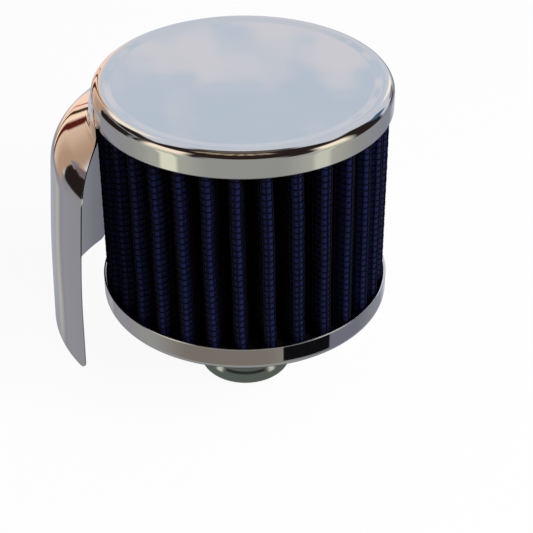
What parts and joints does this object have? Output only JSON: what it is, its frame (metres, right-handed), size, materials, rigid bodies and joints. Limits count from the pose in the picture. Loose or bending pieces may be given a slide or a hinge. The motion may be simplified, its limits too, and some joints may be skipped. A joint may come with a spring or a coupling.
{
  "type": "crankcase breather filter",
  "caption": "Round push-in crankcase breather filter with pleated cloth between two chromed caps, a short neck below and a curved splash shield on one side.",
  "frame": {"origin": "on the filter's axis, at the underside of the base cup, where the neck begins", "axes": "+Z along the filter's axis up to the top cap, -X towards the middle of the shield"},
  "size_m": [0.09, 0.0762, 0.0889],
  "materials": {
    "chrome_plate": "bright plated, mirror smooth",
    "screen_wire": "dark epoxy coated wire",
    "filter_cloth": "oiled cotton gauze",
    "core_steel": "plain perforated sheet",
    "seal_rubber": "moulded, satin"
  },
  "bodies": {
    "root": {"top_cap": "chrome_plate", "side_shield": "chrome_plate", "base_cup": "chrome_plate", "neck_tube": "chrome_plate", "outer_screen": "screen_wire", "filter_media": "filter_cloth", "inner_screen": "screen_wire", "seam_clip": "core_steel", "core_tube": "core_steel", "top_seal": "seal_rubber", "base_seal": "seal_rubber"}
  },
  "joints": []
}
